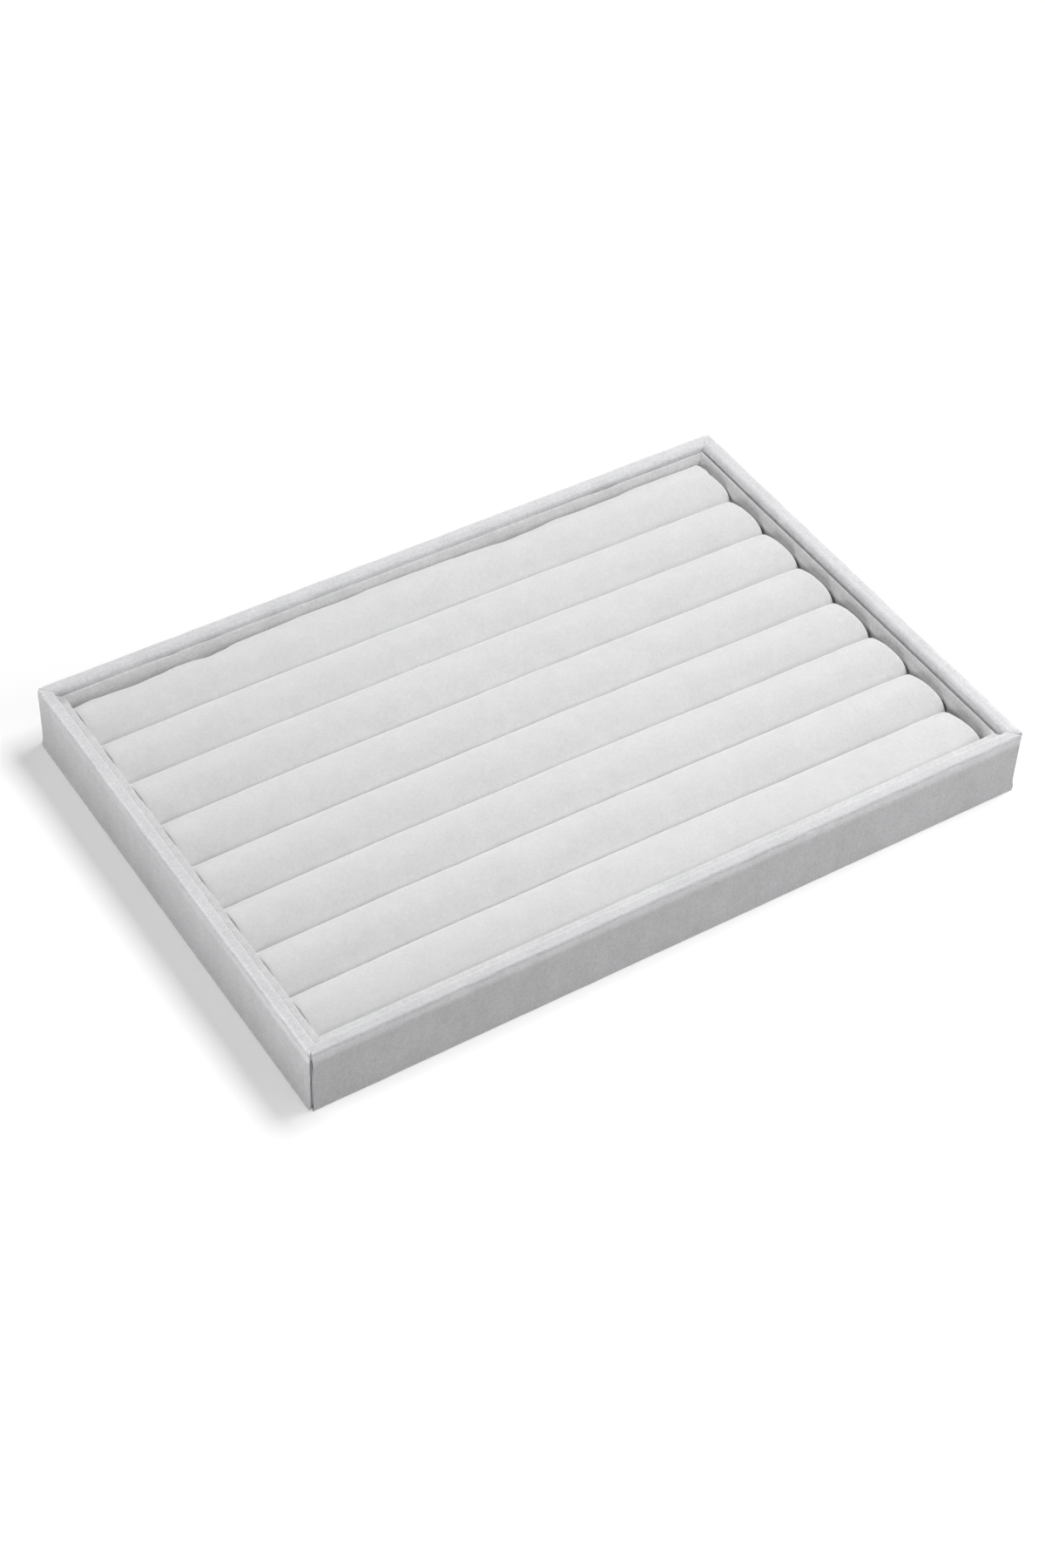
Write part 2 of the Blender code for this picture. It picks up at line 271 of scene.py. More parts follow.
# Between these depths the painted light and shade of the left and front sides give way to those of the
# rest
SIDE_DEPTHS = (10.0 * MM, 13.0 * MM)
# Painted light makes the velvet of the inner faces paler too, and less so in front and on the left
INNER_DEPTH = 4.2 * MM
INNER_LIGHT = 1.13
INNER_LEFT_LIGHT = 1.03
INNER_FRONT_LIGHT = 1.09
# Painted light on the linings' faces and painted shade on their tops
LINING_FACE_LIGHT = 1.10
LINING_TOP_SHADE = 0.94
# Painted light makes the front and left strips paler
LINING_NEAR_LIGHT = 1.22
# Painted shade darkens the right strip low down, behind the ends of the rolls, and over its top
LINING_LOW = 21.5 * MM
LINING_LOW_END = 25.5 * MM
LINING_LOW_SHADE = 0.5
LINING_HIGH = 27.5 * MM
LINING_HIGH_END = 29.0 * MM
LINING_HIGH_SHADE = 0.88
# How much painted sheen makes the velvet paler where it is seen edge on, and how edge on its own colour
# is seen
GRAZE_SHEEN = 0.35
GRAZE_REST = 0.3

# Fibres, clouds and cells of the other materials, and their relief
FELT_FIBRE = 0.7 * MM
FELT_PATCH = 9.0 * MM
FELT_RELIEF = 0.3 * MM
FIBREBOARD_FIBRE = 0.9 * MM
GREYBOARD_FIBRE = 0.6 * MM
BOARD_CLOUDS_PER_FIBRE = 20
BOARD_RELIEF = 0.1 * MM
FOAM_CELL = 0.9 * MM
FOAM_RELIEF = 0.2 * MM

# Camera, at the photograph's viewing angle
CAMERA_AZIMUTH = radians(-34.131)
CAMERA_ELEVATION = radians(44.96)
CAMERA_ROLL = radians(2.614)
CAMERA_DISTANCE = 1289.997 * MM
CAMERA_TARGET = Vector((-7.736 * MM, -8.568 * MM, 0.0))
CAMERA_LENS = 68.304
CAMERA_SENSOR = 36.0

# Studio light: azimuth and elevation in degrees, distance, width, height and power in watts
SOFTBOXES = {
    "key": (90.0, 66.2, 1.65, 0.9, 0.55, 22.9),
    "left_fill": (-90.0, 14.0, 1.7, 1.0, 0.8, 10.4),
    "left_top": (-90.0, 42.0, 1.7, 1.0, 0.8, 2.3),
    "back_fill": (180.0, 15.0, 1.7, 1.2, 0.6, 3.4),
    "front_fill": (0.0, 42.0, 1.7, 1.0, 0.8, 3.0),
    "near_front": (30.0, 38.0, 1.0, 0.6, 0.6, 1.95),
}
# The floor glows more with distance from the tray, and is paler to the camera than to the lamps
FLOOR_GLOW = 0.335
FLOOR_FAR_GLOW = 1.0
FLOOR_NEAR = 0.25
FLOOR_FAR = 1.6
FLOOR_TONE = 0.55
FLOOR_SEEN_TONE = 0.71
FLOOR_HALF = 4.0
WHITE = (1.0, 1.0, 1.0, 1.0)


def mesh_piece(name, verts, faces, material, body):
    """Smooth mesh that rides on a body and takes its finish from a slot."""
    mesh = bpy.data.meshes.new(name)
    mesh.from_pydata([tuple(vert) for vert in verts], [], faces)
    shape = bmesh.new()
    shape.from_mesh(mesh)
    bmesh.ops.recalc_face_normals(shape, faces=shape.faces)
    shape.to_mesh(mesh)
    shape.free()
    mesh.materials.append(material)
    mesh.shade_smooth()
    mesh.set_sharp_from_angle(angle=SMOOTH_ANGLE)
    piece = bpy.data.objects.new(name, mesh)
    bpy.context.scene.collection.objects.link(piece)
    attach(piece, body)
    return piece


def unevenness(place, seed, waves):
    """Smooth wander between -1 and 1, made of one wave for each (size, share)."""
    total = 0.0
    for index, (size, share) in enumerate(waves):
        offset = Vector((seed * SEED_STEP, index * WAVE_STEP, seed * SEED_SIDESTEP))
        total += share * noise.noise(place / size + offset)
    return total


def between(table, run):
    """Value at a run, in millimetres, eased between the entries of a table of (run, value)."""
    if run <= table[0][0]:
        return table[0][1]
    for (start, first), (end, last) in zip(table, table[1:]):
        if run <= end:
            share = (run - start) / (end - start)
            return first + (last - first) * (1 - cos(pi * share)) / 2
    return table[-1][1]


def straight(start, end, step):
    """Points of a line from start up to, but not at, its end."""
    count = max(1, round(hypot(end[0] - start[0], end[1] - start[1]) / step))
    return [(start[0] + (end[0] - start[0]) * i / count,
             start[1] + (end[1] - start[1]) * i / count) for i in range(count)]


def quarter_arc(centre, run, rise, start, steps):
    """Quarter of an ellipse, clockwise from a start angle in degrees, without its last point."""
    points = []
    for step in range(steps):
        angle = radians(start - 90 * step / steps)
        points.append((centre[0] + run * cos(angle), centre[1] + rise * sin(angle)))
    return points


def normals_of(path):
    """Unit normals on the right of an open path, which is the hidden side of a velvet."""
    found = []
    for index in range(len(path)):
        before = path[max(index - 1, 0)]
        after = path[min(index + 1, len(path) - 1)]
        run, rise = after[0] - before[0], after[1] - before[1]
        size = hypot(run, rise)
        found.append((rise / size, -run / size))
    return found


def wall_path(side, step, arc_steps):
    """Outer surface of a wall's velvet: hem, foot, outer face, rim and inner face."""
    outer_run, outer_rise = RIM_OUTERS[side]
    inner_run, inner_rise = RIM_INNERS[side]
    outer_top = TRAY_HEIGHT - outer_rise
    inner_top = TRAY_HEIGHT - inner_rise
    path = straight((HEM_WIDTH, 0.0), (FOOT_RADIUS, 0.0), step)
    path += quarter_arc((FOOT_RADIUS, FOOT_RADIUS), FOOT_RADIUS, FOOT_RADIUS, 270, arc_steps)
    path += straight((0.0, FOOT_RADIUS), (0.0, outer_top), step)
    path += quarter_arc((outer_run, outer_top), outer_run, outer_rise, 180, arc_steps)
    path += straight((outer_run, TRAY_HEIGHT), (WALL - inner_run, TRAY_HEIGHT), step)
    path += quarter_arc((WALL - inner_run, inner_top), inner_run, inner_rise, 90, arc_steps)
    path += straight((WALL, inner_top), (WALL, WALL_FOOT), step)
    return path + [(WALL, WALL_FOOT)]


def lining_path(side, step, arc_steps):
    """Outer surface of a lining strip's velvet, up its back, over its top and down its face."""
    bulge, front_run, front_rise = LINING_FRONTS[side]
    ridge = LINING_BACK + LINING_BACK_RUN
    face = LINING_FACE + bulge
    top = LINING_TOP + LINING_LIFTS[side]
    back_top = top - LINING_BACK_RISE
    front_top = top - front_rise
    path = straight((LINING_BACK, LINING_FOOT), (LINING_BACK, back_top), step)
    path += quarter_arc((ridge, back_top), LINING_BACK_RUN, LINING_BACK_RISE, 180, arc_steps)
    if face - front_run > ridge + FLAT_LEAST:
        path += straight((ridge, top), (face - front_run, top), step)
    path += quarter_arc((face - front_run, front_top), front_run, front_rise, 90, arc_steps)
    path += straight((face, front_top), (LINING_FACE, LINING_FOOT), step)
    return path + [(LINING_FACE, LINING_FOOT)]


def offset_path(path, distance):
    """Path moved to its hidden side."""
    return [(run + distance * normal[0], rise + distance * normal[1])
            for (run, rise), normal in zip(path, normals_of(path))]


def run_stations(half_run):
    """Shares of the half run at which a strip has a ring, closer together near its ends."""
    reach = half_run - END_STATIONS[-1]
    count = round(2 * reach / RUN_STEP)
    middle = [-reach + 2 * reach * i / count for i in range(1, count)]
    low = [end - half_run for end in END_STATIONS]
    high = [half_run - end for end in reversed(END_STATIONS)]
    return [run / half_run for run in low + middle + high]


def corner_inset(distance):
    """How far a rounded corner lies behind its face, at a distance from the sharp corner."""
    reach = CORNER_RADIUS - max(0.0, min(distance, CORNER_RADIUS))
    return CORNER_RADIUS - sqrt(CORNER_RADIUS ** 2 - reach ** 2)


def seam_share(distance):
    """How much of a seam's depth the velvet turns in at a distance from its cut edge."""
    return max(0.0, 1 - distance / SEAM_WIDTH) ** 2


def side_place(side, run, depth, height):
    """World place of a point on one side of the tray, by its run, depth from the face and height."""
    turn = SIDES.index(side)
    half_depth = (TRAY_WIDTH if turn % 2 == 0 else TRAY_LENGTH) / 2
    return Matrix.Rotation(turn * pi / 2, 3, 'Z') @ Vector((run, depth - half_depth, height))


def half_run_of(side):
    """Half the length of one side."""
    return (TRAY_LENGTH if SIDES.index(side) % 2 == 0 else TRAY_WIDTH) / 2


def strip_faces(rings, around):
    """Quads of a closed section swept through its rings, and a cap at each end."""
    faces = [tuple(range(around)), tuple((rings - 1) * around + i for i in range(around))]
    for ring in range(rings - 1):
        for i in range(around):
            after = (i + 1) % around
            faces.append((ring * around + i, ring * around + after,
                          (ring + 1) * around + after, (ring + 1) * around + i))
    return faces


def seam_depth(side, share, on_top, depth):
    """How far a wall's velvet turns in at the seam at this end of it."""
    if depth > WALL / 2 and not on_top:
        return 0.0
    corner = SIDES.index(side) if share > 0 else SIDES.index(side) - 1
    return SEAM_TUCK[side] + (SEAM_ON_TOP[corner] - SEAM_TUCK[side]) * on_top


def wall_nap(side, seed, place, depth, height, outside, on_top):
    """How far the pile of a wall's velvet stands out at one place."""
    nap = WALL_NAP * (1 - RIM_CALM * on_top) * unevenness(place, seed, WALL_WAVES)
    fold = 4 * on_top * (1 - on_top) if depth < WALL / 2 else 0.0
    nap += FOLD_WANDER * fold * unevenness(place, FOLD_SEED, FOLD_WAVES)
    return (nap + WALL_PILES[side] * outside) * min(1.0, height / FOOT_CALM)


def wall_point(side, seed, share, skin, depth, height, normal):
    """Place of one point of a wall's velvet, with its rounded corner, seam and nap."""
    outside = max(0.0, 1 - depth / (2 * WALL_SKIN)) if skin else 0.0
    on_top = min(1.0, max(0.0, 1 - (TRAY_HEIGHT - height) / RIM_OUTERS[side][1]))
    seam = seam_depth(side, share, on_top, depth) if skin else SEAM_PUSH
    turned = seam * normal[0]
    end_inset = outside * corner_inset(turned + SEAM_SETBACK)
    end = half_run_of(side) - depth - turned - end_inset - SEAM_SETBACK
    run = end * share
    from_end = end - abs(run)
    inset = outside * corner_inset(from_end + turned + end_inset + SEAM_SETBACK)
    place = side_place(side, run, depth, height)
    nap = wall_nap(side, seed, place, depth, height, outside, on_top) if skin else 0.0
    inward = seam * seam_share(from_end) - nap
    flare = FOOT_FLARE * outside * max(0.0, 1 - height / FOOT_FLARE_RISE) ** 2
    level = max(0.0, height + inward * normal[1])
    return side_place(side, run + flare * share, depth + inset + inward * normal[0] - flare, level)


def lining_point(side, seed, share, skin, depth, height, normal):
    """Place of one point of a lining's velvet: its back keeps the slit, and its face leans."""
    half_run = half_run_of(side) - depth - SEAM_SETBACK
    middle = (LINING_BACK + LINING_FACE) / 2
    behind = max(0.0, (middle - depth) / (middle - LINING_BACK))
    ahead = min(1.0, max(0.0, (depth - middle) / (LINING_FACE - middle)))
    upper = (height - LINING_FOOT) / (LINING_TOP - LINING_FOOT)
    slit = between(SLIT[side], half_run * share / MM) * MM
    shift = behind * (slit - (LINING_BACK - WALL)) + ahead * LEAN[side] * upper ** 2 if skin else 0.0
    run = (half_run - shift) * share
    place = side_place(side, run, depth, height)
    nap = LINING_NAP * unevenness(place, seed, LINING_WAVES) if skin else 0.0
    return side_place(side, run, depth + shift - nap * normal[0], height - nap * normal[1])


def velvet_strip(name, side, seed, path_of, skin_thickness, point_of, material):
    """Velvet along one side of the tray, mitred at its ends, and its width when it lies flat."""
    path = path_of(side, FACE_STEP, ARC_STEPS)
    hidden = path_of(side, HIDDEN_STEP, END_STEPS)
    back = offset_path(hidden, skin_thickness)
    section = [(True, *point, normal) for point, normal in zip(path, normals_of(path))]
    section += [(False, *point, normal)
                for point, normal in reversed(list(zip(back, normals_of(hidden))))]
    stations = run_stations(half_run_of(side))
    verts = [point_of(side, seed, share, *entry) for share in stations for entry in section]
    faces = strip_faces(len(stations), len(section))
    piece = mesh_piece(name, verts, faces, material, "tray")
    width = sum(hypot(after[0] - here[0], after[1] - here[1])
                for here, after in zip(path, path[1:]))
    return piece, width


def make_strips(materials):
    """Velvet of the four walls and of the four lining strips."""
    for side in SIDES:
        wall, width = velvet_strip(side + "_wall_cover", side, WALL_SEED, wall_path, WALL_SKIN,
                                   wall_point, materials["wall_velvet"])
        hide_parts(side + "_wall_velvet")
        lining, width = velvet_strip(side + "_lining_cover", side, LINING_SEEDS[side],
                                     lining_path, LINING_SKIN, lining_point,
                                     materials["lining_velvet"])
        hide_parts(side + "_lining_velvet")


def axis_stations(half, step):
    """Positions across a sheet, closer together at its edges."""
    inner = half - SHEET_BORDER
    count = round(2 * inner / step)
    middle = [-inner + 2 * inner * i / count for i in range(count + 1)]
    edge = [half - row for row in SHEET_EDGE_ROWS]
    return [-place for place in edge] + middle + list(reversed(edge))


def sheet_faces(wide, deep):
    """Quads of a closed sheet: its upper and lower faces, each of wide by deep points, and its edge."""
    lower = wide * deep
    faces = []
    for row in range(deep - 1):
        for column in range(wide - 1):
            first = row * wide + column
            faces.append((first, first + 1, first + wide + 1, first + wide))
            faces.append((lower + first, lower + first + wide,
                          lower + first + wide + 1, lower + first + 1))
    border = list(range(wide))
    border += [row * wide + wide - 1 for row in range(1, deep)]
    border += [(deep - 1) * wide + column for column in range(wide - 2, -1, -1)]
    border += [row * wide for row in range(deep - 2, 0, -1)]
    for here, after in zip(border, border[1:] + border[:1]):
        faces.append((here, lower + here, lower + after, after))
    return faces


def soft_sheet(name, inset, bottom, thickness, wander, seed, material):
    """Closed thin sheet in the tray's plan, with soft edges and an uneven upper face."""
    half_length = TRAY_LENGTH / 2 - inset
    half_width = TRAY_WIDTH / 2 - inset
    columns = axis_stations(half_length, SHEET_STEP)
    rows = axis_stations(half_width, SHEET_STEP)
    verts = []
    for upper in (True, False):
        for across in rows:
            for along in columns:
                edge = min(half_length - abs(along), half_width - abs(across))
                rounding = sqrt(1 - max(0.0, 1 - edge / SHEET_SOFT_EDGE) ** 2)
                full = SHEET_EDGE_SHARE + (1 - SHEET_EDGE_SHARE) * rounding
                half_thick = thickness / 2 * full
                wave = wander * unevenness(Vector((along, across, 0.0)), seed, SHEET_WAVES)
                level = bottom + thickness / 2 + (half_thick + wave if upper else -half_thick)
                verts.append((along, across, level))
    faces = sheet_faces(len(columns), len(rows))
    piece = mesh_piece(name, verts, faces, material, "tray")
    return piece


def make_sheets(materials):
    """Felt under the tray and the lining on its floor."""
    felt = soft_sheet("felt_sheet", FELT_INSET, 0.0, FELT_THICKNESS, 0.0, FELT_SEED,
                      materials["felt"])
    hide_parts("base_felt")
    floor = soft_sheet("floor_sheet", FLOOR_INSET, FLOOR_BOTTOM, FLOOR_THICKNESS, FLOOR_WANDER,
                       FLOOR_SEED, materials["floor_velvet"])
    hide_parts("floor_lining")


def roll_place(number):
    """Place of a roll's middle across the tray."""
    return (number - (ROLL_COUNT + 1) / 2) * ROLL_PITCH


def pad_ring(inset, ease):
    """Closed section of a roll: up its left side, over its crown, down, and back underneath."""
    shoulder = ROLL_CREST - PAD_CROWN
    side = ROLL_HALF_WIDTH - inset - PAD_SIDE_EASE * ease
    top = ROLL_CREST - inset - ease
    right = []
    for step in range(PAD_SIDE_STEPS):
        rise = step / PAD_SIDE_STEPS
        tuck = ROLL_TUCK * (1 - rise) ** 2
        right.append((side - tuck, ROLL_BASE + rise * (shoulder - ROLL_BASE - ease)))
    radius = (side ** 2 + PAD_CROWN ** 2) / (2 * PAD_CROWN)
    reach = asin(side / radius)
    crown = []
    for step in range(PAD_CROWN_STEPS + 1):
        angle = reach * (2 * step / PAD_CROWN_STEPS - 1)
        crown.append((radius * sin(angle), top - radius * (1 - cos(angle))))
    left = [(-across, height) for across, height in right]
    base = right[0][0]
    under = [(base - 2 * base * step / PAD_BASE_STEPS, ROLL_BASE)
             for step in range(1, PAD_BASE_STEPS)]
    return left + crown + list(reversed(right)) + under


def puffed_end(end, ease, inwards):
    """Places along a roll and drops of the rings that round one of its ends, outermost first."""
    run, inset = ease
    rings = []
    for step in range(END_STEPS + 1):
        angle = radians(90 * step / END_STEPS)
        rings.append((end + inwards * run * (1 - cos(angle)), inset * (1 - sin(angle))))
    return rings


def pad_loops(number):
    """Loops of one roll before it swells, from the middle of one end to the middle of the other."""
    across = roll_place(number)
    rings = puffed_end(PAD_LEFT_END + PAD_INSET, PAD_LEFT_EASE, 1)
    far_end = list(reversed(puffed_end(PAD_RIGHT_END - PAD_INSET, PAD_RIGHT_EASE, -1)))
    start, stop = rings[-1][0], far_end[0][0]
    count = round((stop - start) / PAD_STEP)
    rings += [(start + (stop - start) * i / count, 0.0) for i in range(1, count)]
    rings += far_end
    loops = [[(along, side, height) for side, height in pad_ring(PAD_INSET, ease)]
             for along, ease in rings]
    middle = (ROLL_BASE + ROLL_CREST) / 2
    near, far = loops[0], loops[-1]
    for share in PAD_CAP_SHARES:
        loops.insert(0, [(x, y * share, middle + (z - middle) * share) for x, y, z in near])
        loops.append([(x, y * share, middle + (z - middle) * share) for x, y, z in far])
    return [[Vector((x, across + y, z)) for x, y, z in loop] for loop in loops]


def make_pad(number, material):
    """One padded roll, a little small, ready to swell."""
    across = roll_place(number)
    loops = pad_loops(number)
    around = len(loops[0])
    verts = [place for loop in loops for place in loop]
    faces = strip_faces(len(loops), around)[2:]
    for first, along in ((0, loops[0][0].x), ((len(loops) - 1) * around, loops[-1][0].x)):
        middle = len(verts)
        verts.append(Vector((along, across, (ROLL_BASE + ROLL_CREST) / 2)))
        faces += [(first + i, first + (i + 1) % around, middle) for i in range(around)]
    pad = mesh_piece("padded_roll_" + str(number), verts, faces, material, "roll_insert")
    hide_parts("velvet_roll_" + str(number), "foam_roll_" + str(number))
    return pad


def swell(pads):
    """Blow the rolls up a little against their glued undersides, as cloth, and keep that shape."""
    scene = bpy.context.scene
    for pad in pads:
        glued = pad.vertex_groups.new(name="glued")
        low = [vert.index for vert in pad.data.vertices if vert.co.z < ROLL_BASE + PAD_GLUED]
        glued.add(low, 1.0, 'REPLACE')
        cloth = pad.modifiers.new("cloth", 'CLOTH').settings
        cloth.vertex_group_mass = "glued"
        cloth.mass = PAD_MASS
        cloth.use_pressure = True
        cloth.uniform_pressure_force = PAD_PRESSURE
        cloth.effector_weights.gravity = 0.0
    for frame in range(1, PAD_FRAMES + 1):
        scene.frame_set(frame)
    graph = bpy.context.evaluated_depsgraph_get()
    for pad in pads:
        swollen = [vert.co.copy() for vert in pad.evaluated_get(graph).data.vertices]
        pad.modifiers.clear()
        pad.vertex_groups.clear()
        for vert, place in zip(pad.data.vertices, swollen):
            shift = place - vert.co
            if shift.length > PAD_MOST_SWELL:
                shift *= PAD_MOST_SWELL / shift.length
            vert.co += shift
    scene.frame_set(1)


def subdivide(piece):
    """Give a piece the mesh of one level of subdivision."""
    piece.modifiers.new("smooth", 'SUBSURF').levels = 1
    graph = bpy.context.evaluated_depsgraph_get()
    mesh = bpy.data.meshes.new_from_object(piece.evaluated_get(graph))
    piece.modifiers.clear()
    old = piece.data
    piece.data = mesh
    bpy.data.meshes.remove(old)
    mesh.shade_smooth()


def rounded_height(height, crown):
    """Height of a point of a roll once its crown is given another height."""
    shoulder = ROLL_CREST - PAD_CROWN
    if height > shoulder:
        return ROLL_CREST - (ROLL_CREST - height) * crown / PAD_CROWN
    return ROLL_BASE + (height - ROLL_BASE) * (ROLL_CREST - crown - ROLL_BASE) / (shoulder - ROLL_BASE)


def fill_strip(pad, number):
    """Stretch a roll to its ends, its crest and its free width, and slant its right end."""
    across = roll_place(number)
    verts = pad.data.vertices
    left = min(vert.co.x for vert in verts)
    right = max(vert.co.x for vert in verts)
    top = max(vert.co.z for vert in verts)
    half = max(abs(vert.co.y - across) for vert in verts)
    right_end = PAD_RIGHT_END + PAD_END_SHIFTS[number - 1] * MM
    for vert in verts:
        share = (vert.co.x - left) / (right - left)
        upper = max(0.0, (vert.co.z - ROLL_BASE) / (top - ROLL_BASE))
        run = PAD_LEFT_END + share * (right_end - PAD_LEFT_END)
        near_end = max(0.0, 1 - (right_end - run) / PAD_SLANT_REACH)
        side = (vert.co.y - across) * PAD_FREE_HALF / half
        slant = PAD_SLANT * upper ** PAD_SLANT_SHARPNESS
        rear = PAD_LAST_SLANT if number == ROLL_COUNT else PAD_REAR_SLANT
        lean = rear if side > 0 else PAD_FRONT_REACH
        slant += lean * side / PAD_FREE_HALF * upper
        vert.co = (run - slant * near_end, across + side,
                   ROLL_BASE + upper * (ROLL_CREST - ROLL_BASE))


def crown_height(number, run, side):
    """Height of a roll's crown at a place along it and across it."""
    middle = between(PAD_ROUNDING, run / MM)
    if number == 1 and side < 0:
        outer = between(FRONT_ROUNDING, run / MM)
    elif number == ROLL_COUNT and side > 0:
        outer = between(REAR_ROUNDING, run / MM)
    else:
        outer = middle - REAR_FLATTENING[number - 1] * (side > 0)
    return (middle + (outer - middle) * min(1.0, abs(side) / PAD_TURN)) * MM


def settle_pad(pad, number):
    """Round a roll's crown as it is at each place, squeeze it into its strip, and add its nap."""
    across = roll_place(number)
    normals = [vert.normal.copy() for vert in pad.data.vertices]
    for vert, normal in zip(pad.data.vertices, normals):
        crown = crown_height(number, vert.co.x, vert.co.y - across)
        height = rounded_height(vert.co.z, crown)
        calm = min(1.0, (vert.co.x - PAD_LEFT_END) / PAD_CALM, (height - ROLL_BASE) / PAD_CALM)
        nap = PAD_NAP * max(0.0, calm) * unevenness(vert.co, number, PAD_WAVES) * normal
        side = max(-PAD_STRIP, min(PAD_STRIP, vert.co.y + nap.y - across))
        vert.co = (vert.co.x + nap.x, across + side, max(height + nap.z, ROLL_BASE))


def make_rolls(materials):
    """The eight padded rolls of the insert."""
    numbers = range(1, ROLL_COUNT + 1)
    pads = [make_pad(number, materials["roll_velvet"]) for number in numbers]
    swell(pads)
    for number, pad in zip(numbers, pads):
        subdivide(pad)
        fill_strip(pad, number)
        settle_pad(pad, number)


def add_node(tree, kind, inputs, **settings):
    """Shader node with its settings, and with a value or a link for each named input."""
    made = tree.nodes.new(kind)
    for name, value in settings.items():
        setattr(made, name, value)
    for name, value in inputs.items():
        if isinstance(value, bpy.types.NodeSocket):
            tree.links.new(value, made.inputs[name])
        else:
            made.inputs[name].default_value = value
    return made


def new_material(name):
    """Material with an empty Principled shader, its tree and the place of each point."""
    material = bpy.data.materials.new(name)
    material.use_nodes = True
    tree = material.node_tree
    coordinates = tree.nodes.new('ShaderNodeTexCoord').outputs["Object"]
    return material, tree, tree.nodes["Principled BSDF"], coordinates


def noise_node(tree, coordinates, size, detail=2.0, rough=0.5):
    """Noise whose lumps are about as large as size."""
    return add_node(tree, 'ShaderNodeTexNoise', {
        "Vector": coordinates, "Scale": 1 / size, "Detail": detail, "Roughness": rough,
    }).outputs["Fac"]


def ramp_node(tree, factor, dark, light, low=0.3, high=0.7):
    """Colour that runs from dark, up to a low factor, to light, from a high one on."""
    ramp = add_node(tree, 'ShaderNodeValToRGB', {"Fac": factor})
    for index, (position, colour) in enumerate(((low, dark), (high, light))):
        element = ramp.color_ramp.elements[index]
        element.position = position
        element.color = (*colour, 1.0)
    return ramp.outputs["Color"]


def joined(tree, operation, first, second, third=0.0):
    """Result of an operation on values."""
    return add_node(tree, 'ShaderNodeMath', {0: first, 1: second, 2: third},
                    operation=operation).outputs[0]


def blend_node(tree, first, second, share):
    """Mean of two values, with a share of the second."""
    return joined(tree, 'MULTIPLY_ADD', second, share,
                  joined(tree, 'MULTIPLY', first, 1 - share))


def scaled(tree, colour, share):
    """Colour times a share."""
    return add_node(tree, 'ShaderNodeVectorMath', {0: colour, "Scale": share},
                    operation='SCALE').outputs["Vector"]


def parts_of(tree, vector):
    """The X, Y and Z of a vector."""
    return add_node(tree, 'ShaderNodeSeparateXYZ', {"Vector": vector}).outputs


def bump_node(tree, height, distance, strength, before=None):
    """Small relief from a height, over an earlier one."""
    inputs = {"Height": height, "Distance": distance, "Strength": strength}
    if before is not None:
        inputs["Normal"] = before
    return add_node(tree, 'ShaderNodeBump', inputs).outputs["Normal"]


def depth_node(tree, place):
    """Depth of a place behind the outer faces of the tray."""
    depths = []
    for axis, half in (("X", TRAY_LENGTH / 2), ("Y", TRAY_WIDTH / 2)):
        distance = joined(tree, 'ABSOLUTE', place[axis], 0.0)
        depths.append(joined(tree, 'SUBTRACT', half, distance))
    return joined(tree, 'MINIMUM', *depths)


def eased(tree, value, start, stop, low, high):
    """Value eased from low, before start, to high, beyond stop."""
    return add_node(tree, 'ShaderNodeMapRange', {
        "Value": value, "From Min": start, "From Max": stop, "To Min": low, "To Max": high,
    }, interpolation_type='SMOOTHSTEP').outputs["Result"]


def from_face(tree, place, axis, near, far, low, high):
    """Value eased from low to high between two depths, behind the left (X) or front (Y) face."""
    half = (TRAY_LENGTH if axis == "X" else TRAY_WIDTH) / 2
    return eased(tree, place[axis], near - half, far - half, low, high)


def outer_painted_light_and_shade(tree, coordinates, place, top):
    """Painted light and shade on the walls' outer faces: a paler, mottled band below their upper edges,
    darker over the front edge, and darker low down on the left face.
    """
    lumps = noise_node(tree, coordinates, FOLD_LUMP, detail=3.0, rough=0.7)
    height = joined(tree, 'MULTIPLY_ADD', lumps, FOLD_UNEVEN, place["Z"])
    band = eased(tree, height, FOLD_LOW + FOLD_UNEVEN / 2, FOLD_HIGH + FOLD_UNEVEN / 2,
                 0.0, FOLD_PAINTED_LIGHT - 1)
    rearwards = eased(tree, place["Y"], FOLD_FRONT, FOLD_REAR, 1.0, FOLD_REST)
    band = joined(tree, 'MULTIPLY', band, rearwards)
    in_front = from_face(tree, place, "Y", FOLD_DEPTH, 2 * FOLD_DEPTH, 1.0, 0.0)
    fading = joined(tree, 'MULTIPLY_ADD', in_front, FOLD_EDGE_REST, 1 - FOLD_EDGE_REST)
    kept = joined(tree, 'SUBTRACT', 1.0, joined(tree, 'MULTIPLY', top, fading))
    band = joined(tree, 'MULTIPLY', band, kept)
    edge = joined(tree, 'MULTIPLY', top, in_front)
    change = joined(tree, 'MULTIPLY_ADD', edge, FOLD_EDGE_SHADE - 1, band)
    on_left = from_face(tree, place, "X", FOLD_DEPTH, 2 * FOLD_DEPTH, 1.0, 0.0)
    # Painted shade on the left face, deepening towards its foot
    left_shading = eased(tree, place["Z"], 0.0, LEFT_HIGH, LEFT_FOOT_SHADE, LEFT_TOP_LIGHT)
    return joined(tree, 'MULTIPLY_ADD', on_left, left_shading, change)


def inner_painted_light(tree, place, depth):
    """Painted light on the walls' inner faces, as a share of their colour, and 1 elsewhere."""
    inner = joined(tree, 'MINIMUM',
                   from_face(tree, place, "X", *SIDE_DEPTHS, INNER_LEFT_LIGHT, INNER_LIGHT),
                   from_face(tree, place, "Y", *SIDE_DEPTHS, INNER_FRONT_LIGHT, INNER_LIGHT))
    return eased(tree, depth, INNER_DEPTH, INNER_DEPTH + FOLD_DEPTH, 1.0, inner)


